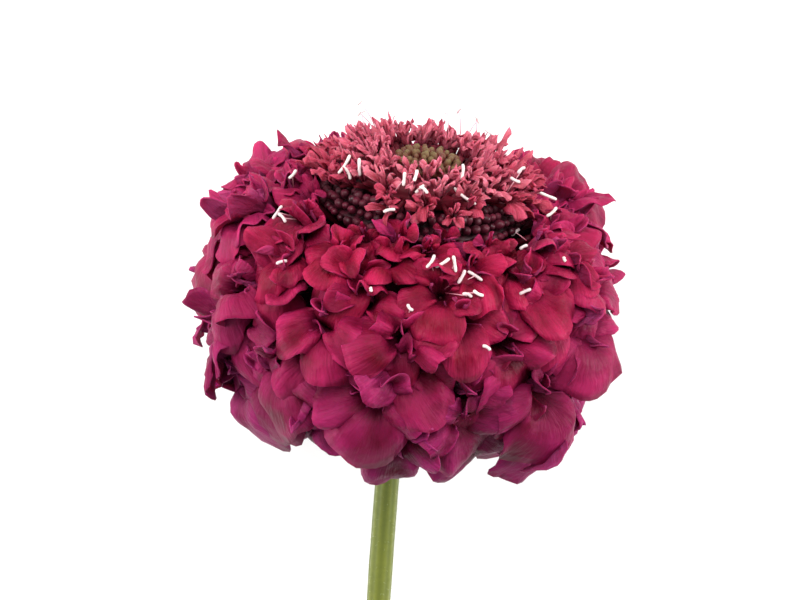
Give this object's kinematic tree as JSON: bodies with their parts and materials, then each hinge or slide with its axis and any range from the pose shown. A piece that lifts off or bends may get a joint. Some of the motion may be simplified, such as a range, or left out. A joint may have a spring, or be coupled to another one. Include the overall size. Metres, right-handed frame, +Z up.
{
  "type": "scabiosa flower",
  "caption": "Cut double scabiosa with a domed head of ruffled crimson florets, a raised tuft and a bare green stem, lying on its side.",
  "frame": {"origin": "centre of the bounding box on the surface that the flower lies on", "axes": "+Y along the flower from the cut end of the stem to the head, +Z up from the surface"},
  "size_m": [0.0592, 0.1957, 0.0586],
  "materials": {
    "ray_petals": "matte",
    "tuft_petals": "matte",
    "dark_buds": "satin",
    "centre_buds": "satin",
    "bracts": "matte",
    "stem": "satin"
  },
  "bodies": {
    "root": {"ray_florets": "ray_petals", "centre_florets": "tuft_petals", "disc_buds": "dark_buds", "centre_buds": "centre_buds", "involucre": "bracts", "stem": "stem"}
  },
  "joints": []
}
